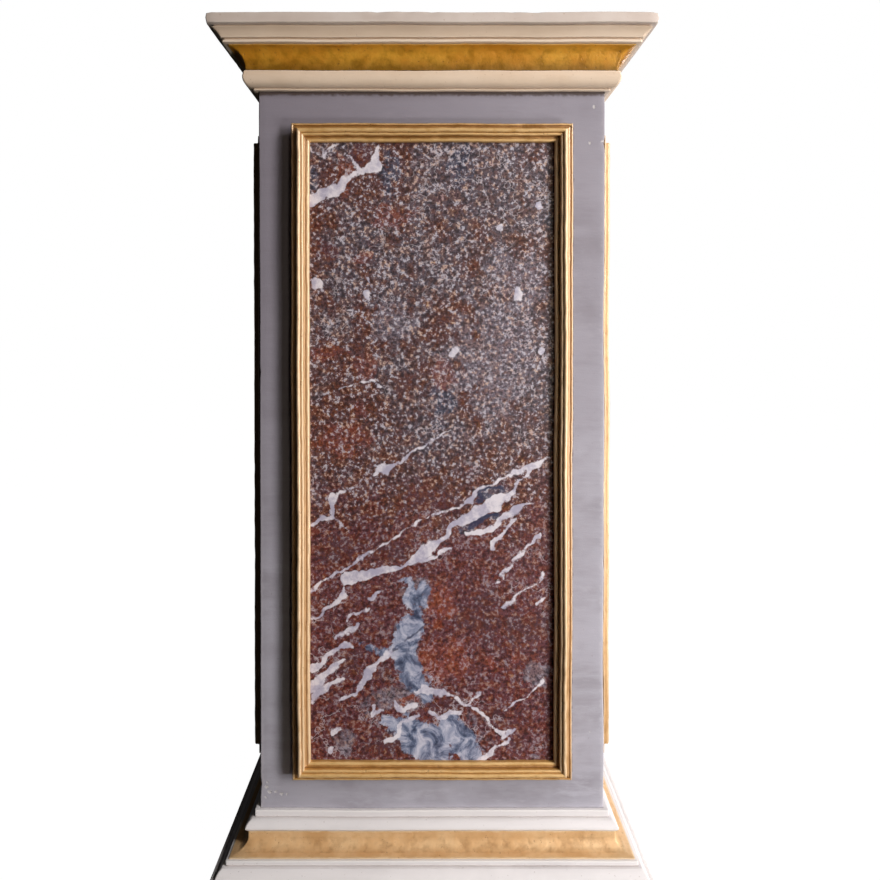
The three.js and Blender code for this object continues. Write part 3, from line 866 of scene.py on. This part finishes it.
def grey_paint(shaft_face, joint_height):
    """The shaft's grey-lilac paint: painted shade to the top and left, flecks, dirt and painted shade
    in joints.

    shaft_face is the place of its front and joint_height that of the cornice's foot, in metres.
    """
    paint, base, roughness, normal = painted(
        "grey_paint_brushed", colour=rgb(172, 168, 178), shade=rgb(150, 145, 153),
        grime=rgb(112, 100, 96), worn=rgb(184, 179, 186), grime_amount=0.5,
        streak=SHAFT_STREAK,
    )
    blotches = paint.noise(26, detail=5, roughness=0.72, stretch=BLOTCH_STREAK)
    base = paint.lay(base, rgb(182, 178, 188), paint.step(blotches, 0.56, 0.7), 0.5)

    # Painted shade, darker upwards and stronger to the left where it is high up
    height = paint.along("Z")
    shaded_high = paint.strayed(height, paint.noise(90, detail=3), -0.25, 0.25)
    base = paint.lay(base, rgb(128, 120, 129), paint.step(shaded_high, *SHAFT_SHADE_HEIGHTS), 0.62)
    across = paint.strayed(paint.along("X"), blotches, -0.1, 0.1)
    shade_upward = paint.scaled(paint.step(height, 0.1, 0.85), 0.1, 0.75)
    base = paint.lay(base, rgb(126, 118, 127), paint.step(across, *SHAFT_SHADE_ACROSS), shade_upward)

    # Dirt and painted shade in the joints and beside the frame
    fine = paint.noise(6, detail=3)
    joint = paint.strayed(height, fine, -0.003, 0.003)
    joint = paint.step(joint, *(joint_height - below for below in JOINT_DIRT_AND_SHADE))
    by_frame = paint.strayed(paint.field("from_frame"), fine, -3.0, 3.0)
    dirt_and_shade_mask = paint.math("MAXIMUM", joint, paint.step(by_frame, FRAME_DIRT_AND_SHADE, 0.0))
    base = paint.lay(base, rgb(66, 48, 34), dirt_and_shade_mask, 0.8)

    # Chips
    chipped = paint.step(paint.noise(11, detail=4, roughness=0.7), 0.785, 0.8)
    edge = paint.scaled(paint.noise(3.4, detail=4, roughness=0.7), -4.5, 4.5)
    for x, z, radius in FLECKS:
        inputs = {0: paint.place, 1: (x / METRE, shaft_face, z / METRE)}
        away = paint.node("VectorMath", inputs, operation="DISTANCE").outputs["Value"]
        away = paint.math("ADD", paint.math("MULTIPLY", away, METRE), edge)
        fleck = paint.step(away, radius, radius - FLECK_EDGE)
        chipped = paint.math("MAXIMUM", chipped, fleck)
    base = paint.lay(base, rgb(206, 200, 198), chipped, 0.7)
    normal = paint.bump(paint.math("SUBTRACT", 1.0, chipped), 0.3, normal)
    return paint.surfaced(base, roughness, normal, specular=PAINT_SHEEN)


# A frame's gilding in millimetres from its outer edge: where painted shade darkens it, and where it
# changes
SHADED_EDGE = (2.0, 0.5)
INNER_BAND = (5.0, 14.0)
GILT_METAL = 0.2


def gilding(name, leaf, deep, grime, rubbed, sheen, inner=None, cove_shade_heights=None):
    """Worn gilding on gesso: rubbed high parts, hollows browned by dirt and painted shade, pits and
    small lumps.

    sheen is a plain number. inner is a frame's colour towards its inner edge, and such a
    frame's outer edge is darkened with painted shade. The last argument gives the heights in
    metres where a cove's gilding starts to darken with painted shade and where it is darkest.
    """
    gold = Finish(name)
    relief = gold.field("relief")
    broad = gold.noise(48, detail=3, roughness=0.6)
    lumps = gold.noise(13, detail=4, roughness=0.65)
    grain = gold.noise(3.2, detail=3, roughness=0.65)
    base = gold.mix(gold.step(broad, 0.32, 0.66), deep, leaf)
    base = gold.lay(base, deep, gold.step(lumps, 0.52, 0.7), 0.55)
    if inner is not None:
        inward = gold.strayed(gold.field("inward"), lumps, -3.0, 3.0)
        base = gold.lay(base, inner, gold.step(inward, *INNER_BAND), 0.85)
    # Dirt and painted shade brown the hollows
    hollow = gold.step(gold.strayed(relief, lumps, -0.5, 0.5), 0.0, -0.7)
    base = gold.lay(base, grime, hollow, 0.92)
    proud = gold.step(gold.strayed(relief, lumps, -0.7, 0.7), 0.25, 0.9)
    base = gold.lay(base, rubbed, proud, 0.75)
    pits = gold.step(gold.noise(5.5, detail=3, roughness=0.7), 0.64, 0.7)
    base = gold.lay(base, grime, pits, 0.6)
    base = gold.mix(gold.scaled(grain, 0.0, 0.3), base, deep)
    # Painted shade along a frame's outer edge
    if inner is not None:
        base = gold.lay(base, grime, gold.step(inward, *SHADED_EDGE), 0.4)
    # Painted shade: a cove darkens towards its foot
    if cove_shade_heights is not None:
        height = gold.strayed(gold.along("Z"), lumps, -0.006, 0.006)
        base = gold.lay(base, grime, gold.step(height, *cove_shade_heights), 0.8)
    normal = gold.bump(lumps, 0.7)
    normal = gold.bump(grain, 0.22, normal)
    normal = gold.bump(gold.math("SUBTRACT", 1.0, pits), 0.15, normal)
    roughness = gold.scaled(gold.step(lumps, 0.35, 0.65), 0.34, 0.55)
    return gold.surfaced(base, roughness, normal, specular=sheen, metallic=GILT_METAL)


# Heights in metres between which the marble turns from grey to red, going down
RED_HEIGHTS = (0.62, 0.32)


def marble_ground(stone, wander, drifted):
    """The slab's broad colours, and how far each point is red or a plain patch."""
    ground = stone.mix(stone.step(drifted, 0.4, 0.6), rgb(94, 50, 38), rgb(90, 80, 88))
    low_down = stone.strayed(stone.step(stone.along("Z"), *RED_HEIGHTS), wander, -1.3, 1.0)
    redness = stone.step(low_down, 0.0, 0.7)
    ground = stone.mix(redness, ground, rgb(104, 38, 36))
    patches = {
        "pale": (rgb(124, 114, 126), 0.8),
        "blue": (rgb(66, 76, 98), 0.9),
        "maroon": (rgb(88, 34, 34), 0.9),
        "brick": (rgb(146, 60, 32), stone.scaled(redness, 0.5, 0.85)),
    }
    shares = {}
    for name, (colour, strength) in patches.items():
        edge = stone.step(stone.strayed(stone.field(name), wander, -2.2, 2.2), -0.1, 0.35)
        shares[name] = stone.math("MULTIPLY", edge, strength)
        ground = stone.mix(shares[name], ground, colour)
    plain = stone.math("ADD", shares["maroon"], stone.math("MULTIPLY", shares["brick"], 0.5))
    return ground, redness, plain


def red_marble():
    """Mottled marble: fine light and dark grains on red and grey, blue rivers and pale veins."""
    stone = Finish("mottled_marble")
    grains = stone.noise(4.2, detail=3, roughness=0.6, distortion=0.12)
    fine = stone.noise(8, detail=3, roughness=0.6)
    wander = stone.noise(32, detail=5, roughness=0.7)
    drifted = stone.strayed(stone.noise(130, detail=4, roughness=0.6), wander, -0.3, 0.3)
    ground, redness, plain = marble_ground(stone, wander, drifted)

    # Light and dark grains, in hues that change from place to place
    hue = stone.noise(17, detail=4, roughness=0.7)
    dark_hues = stone.ramp(hue, (
        (0.34, rgb(92, 44, 40)), (0.44, rgb(124, 82, 64)), (0.52, rgb(84, 82, 96)),
        (0.6, rgb(112, 64, 54)), (0.68, rgb(142, 96, 62)),
    ))
    light_hues = stone.ramp(hue, (
        (0.34, rgb(188, 156, 156)), (0.43, rgb(208, 176, 156)), (0.5, rgb(196, 194, 208)),
        (0.58, rgb(206, 188, 190)), (0.67, rgb(208, 168, 132)),
    ))
    ground = stone.mix(0.38, ground, dark_hues)
    light_amount = stone.scaled(stone.math("MAXIMUM", plain, redness), 0.88, 0.36)
    lit = stone.step(stone.strayed(grains, wander, -0.06, 0.06), 0.53, 0.64)
    base = stone.lay(ground, stone.mix(0.12, light_hues, ground), lit, light_amount)
    dark_colour = stone.mix(0.7, ground, rgb(14, 10, 14))
    dark_amount = stone.scaled(plain, 0.95, 0.6)
    base = stone.lay(base, dark_colour, stone.step(grains, 0.49, 0.38), dark_amount)

    # Hair-thin threads in the grey parts
    threads = stone.math("SUBTRACT", stone.noise(46, detail=4, roughness=0.6), 0.5)
    thread = stone.step(stone.math("ABSOLUTE", threads), 0.011, 0.003)
    thread = stone.math("MULTIPLY", thread, stone.step(drifted, 0.44, 0.6))
    base = stone.lay(base, rgb(206, 194, 200), thread, 0.45)

    # Blue rivers
    river = stone.strayed(stone.field("river"), wander, -15.0, 14.0)
    river = stone.step(stone.strayed(river, fine, -6.0, 6.0), -1.0, 2.5)
    river_colour = stone.ramp(stone.noise(22, detail=5, roughness=0.65, distortion=0.8), (
        (0.37, rgb(48, 60, 84)), (0.46, rgb(104, 114, 140)), (0.53, rgb(158, 162, 184)),
        (0.62, rgb(200, 198, 212)),
    ))
    base = stone.lay(base, river_colour, river, 0.9)

    # Dark cracks and pale veins
    crack = stone.step(stone.strayed(stone.field("crack"), fine, -3.0, 3.0), -0.6, 1.2)
    base = stone.lay(base, rgb(50, 54, 80), crack, 0.85)
    vein = stone.step(stone.strayed(stone.field("vein"), fine, -3.2, 3.2), -1.0, 0.6)
    vein_colour = stone.mix(stone.step(wander, 0.4, 0.6), rgb(176, 170, 190), rgb(228, 220, 226))
    base = stone.lay(base, vein_colour, vein, 0.9)

    roughness = stone.scaled(stone.noise(24, detail=3), 0.34, 0.5)
    normal = stone.bump(stone.noise(40, detail=2), 0.35)
    normal = stone.bump(grains, 0.05, normal)
    return stone.surfaced(base, roughness, normal, specular=0.42)


cream = plain_paint(
    "cream_paint_worn", colour=rgb(221, 198, 175), shade=rgb(211, 186, 161),
    grime=rgb(150, 112, 80), worn=rgb(230, 214, 196), grime_amount=0.35,
)
top_cream = plain_paint(
    "cream_paint_grey", colour=rgb(212, 198, 189), shade=rgb(199, 182, 171),
    grime=rgb(165, 128, 92), worn=rgb(220, 206, 192), grime_amount=0.6,
)
white = plain_paint(
    "white_paint_worn", colour=rgb(226, 220, 220), shade=rgb(214, 208, 208),
    grime=rgb(150, 134, 126), worn=rgb(238, 233, 230), grime_amount=0.35,
)
rail_gold = gilding(
    "rail_gilding", leaf=rgb(210, 156, 80), deep=rgb(184, 128, 58),
    grime=rgb(128, 86, 40), rubbed=rgb(234, 196, 136), sheen=1.0,
    inner=rgb(204, 154, 86),
)
# The stiles' gilding is a paler copy of the rails': painted sheen where the stiles face the light
stile_gold_painted_sheen = gilding(
    "stile_gilding_painted_sheen", leaf=rgb(216, 175, 124), deep=rgb(198, 154, 100),
    grime=rgb(164, 124, 80), rubbed=rgb(228, 200, 164), sheen=1.0,
    inner=rgb(212, 172, 124),
)
# The cornice's cove darkens towards its foot with painted shade
cornice_low, cornice_high = (end.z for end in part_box("front_cornice_gilt_cove"))
cornice_gold = gilding(
    "cornice_gilding", leaf=rgb(232, 170, 56), deep=rgb(206, 138, 32),
    grime=rgb(92, 64, 14), rubbed=rgb(238, 198, 120), sheen=0.4,
    cove_shade_heights=(0.25 * cornice_low + 0.75 * cornice_high, cornice_low),
)
base_gold = gilding(
    "base_gilding", leaf=rgb(232, 195, 148), deep=rgb(210, 165, 114),
    grime=rgb(136, 92, 50), rubbed=rgb(246, 224, 190), sheen=0.6,
)
grey = grey_paint(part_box("front_shaft_board")[0].y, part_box("front_cornice_lower_moulding")[0].z)
marble = red_marble()


# The column

# How sharp and how lumpy painted and gilded lengths are
PAINTED = {"arris": PAINT_ARRIS, "lump_depth": PAINT_LUMP_DEPTH}
GILDED = {"arris": GILT_ARRIS, "lump_depth": GILT_LUMP_DEPTH}

# Each moulding with its slot, finish, worn mitre and surface
MOULDINGS = (
    ("base_lower_moulding", "white_paint", white, BASE_CORNER, PAINTED),
    ("base_gilt_cove", "gilding", base_gold, BASE_CORNER, GILDED),
    ("base_upper_moulding", "white_paint", white, BASE_CORNER, PAINTED),
    ("cornice_lower_moulding", "cream_paint", cream, CORNICE_CORNER, PAINTED),
    ("cornice_gilt_cove", "gilding", cornice_gold, CORNICE_CORNER, GILDED),
    ("cornice_upper_moulding", "cream_paint", cream, CORNICE_CORNER, PAINTED),
)
frame_low, frame_high = framed_area()
frame_middle = (frame_low[2] + frame_high[2]) / 2

for side_turns, side in enumerate(SIDES):
    shaft_board(f"{side}_shaft_board", side_turns, grey)
    marble_slab(f"{side}_marble_slab", side_turns, marble)
    for member, run in MEMBERS:
        # The stiles take the paler gilding, with painted sheen
        gold, middle = (rail_gold, frame_middle) if run == LEVEL else (stile_gold_painted_sheen, 0)
        name = f"{side}_frame_{member}"
        straight_length(name, side_turns, run, "gilding", gold, 0, centre=middle, **GILDED)
    for moulding, slot, finish, worn_corner, hand in MOULDINGS:
        name = f"{side}_{moulding}"
        straight_length(name, side_turns, LEVEL, slot, finish, worn_corner, **hand)
square_board("top_board", top_cream, corner=1.4, arris=1.4)
square_board("plinth_board", white, corner=2.6, arris=1.6)


# Camera, at the photograph's viewing angle

def photo_camera():
    """The camera that stands where the photograph was taken from."""
    data = bpy.data.cameras.new("photo_camera")
    data.sensor_width = SENSOR_WIDTH
    data.lens = SENSOR_WIDTH * FOCAL_PIXELS / PHOTO_PIXELS
    data.shift_x = (PHOTO_PIXELS / 2 - CENTRE_COLUMN) / PHOTO_PIXELS
    data.shift_y = (CENTRE_ROW - PHOTO_PIXELS / 2) / PHOTO_PIXELS
    data.clip_start = NEAREST_SEEN / METRE
    camera = bpy.data.objects.new("photo_camera", data)
    camera.location = [place / METRE for place in CAMERA_PLACE]
    camera.rotation_euler = (math.pi / 2 - CAMERA_PITCH, 0, 0)
    bpy.context.scene.collection.objects.link(camera)
    bpy.context.scene.camera = camera


# Light and surroundings

WHITE = (1.0, 1.0, 1.0)

# Each light's azimuth in degrees from the front towards the right, its distance, height and
# size in metres, its power in watts and its colour
LIGHTS = {
    "key": (51, 2.7, 1.2, (0.42, 1.1), 54, (1.0, 0.985, 0.97)),
    "overhead": (46, 1.8, 1.9, (0.5, 0.3), 14, WHITE),
    "bounce": (44, 1.5, 0.16, (0.4, 0.2), 10, WHITE),
    "front": (20, 2.6, 0.9, (0.5, 1.0), 5.5, (1.0, 0.86, 0.66)),
    "right": (88, 2.0, 0.6, (0.6, 1.2), 15, WHITE),
    "behind": (160, 2.4, 0.7, (0.6, 1.4), 26, WHITE),
    "left_behind": (245, 2.4, 0.7, (0.9, 1.4), 0.5, WHITE),
}

# How strongly the white background lights the column, against 1 as the camera sees it
ROOM_LIGHT = 0.007

# Half the floor's width in metres, and the two tones of its paint
FLOOR_REACH = 40
FLOOR_TONES = ((0.03, 0.03, 0.03, 1), (0.04, 0.04, 0.04, 1))
FLOOR_PATCHES = 900


def softbox(name, azimuth, distance, height, size, power, colour):
    """A soft light that faces the column's middle."""
    data = bpy.data.lights.new(name, "AREA")
    data.shape = "RECTANGLE"
    data.size, data.size_y = size
    data.energy = power
    data.color = colour
    light = bpy.data.objects.new(name, data)
    angle = math.radians(azimuth)
    light.location = (distance * math.sin(angle), -distance * math.cos(angle), height)
    drop = math.atan2(height - cad_high.z / 2, distance)
    light.rotation_euler = (math.pi / 2 - drop, 0, angle)
    light.visible_camera = False
    bpy.context.scene.collection.objects.link(light)


def pale_floor():
    """A floor that is seen as white all over, and gives no light to the column."""
    mesh = bpy.data.meshes.new("floor")
    corners = [(-1, -1), (1, -1), (1, 1), (-1, 1)]
    mesh.from_pydata([(x * FLOOR_REACH, y * FLOOR_REACH, 0) for x, y in corners], [], [(0, 1, 2, 3)])
    floor = bpy.data.objects.new("floor", mesh)
    pale = Finish("pale_floor")
    pale.surface["Emission Color"].default_value = (1, 1, 1, 1)
    pale.surface["Emission Strength"].default_value = 1.0
    pale.surface["Specular IOR Level"].default_value = 0.0
    pale.put(pale.surface["Base Color"], pale.mix(pale.noise(FLOOR_PATCHES), *FLOOR_TONES))
    mesh.materials.append(pale.material)
    floor.visible_diffuse = False
    floor.visible_glossy = False
    bpy.context.scene.collection.objects.link(floor)


def white_background():
    """A background that the camera sees as white, but which gives little light."""
    world = bpy.data.worlds.new("white_studio")
    world.use_nodes = True
    nodes, links = world.node_tree.nodes, world.node_tree.links
    background = nodes["Background"]
    seen = nodes.new("ShaderNodeLightPath").outputs["Is Camera Ray"]
    strength = nodes.new("ShaderNodeMapRange")
    strength.inputs["To Min"].default_value = ROOM_LIGHT
    strength.inputs["To Max"].default_value = 1.0
    links.new(seen, strength.inputs["Value"])
    links.new(strength.outputs["Result"], background.inputs["Strength"])
    background.inputs["Color"].default_value = (1, 1, 1, 1)
    bpy.context.scene.world = world


photo_camera()
pale_floor()
white_background()
for light_name, settings in LIGHTS.items():
    softbox(light_name, *settings)
scene = bpy.context.scene
scene.view_settings.view_transform = "Standard"
scene.view_settings.look = "None"
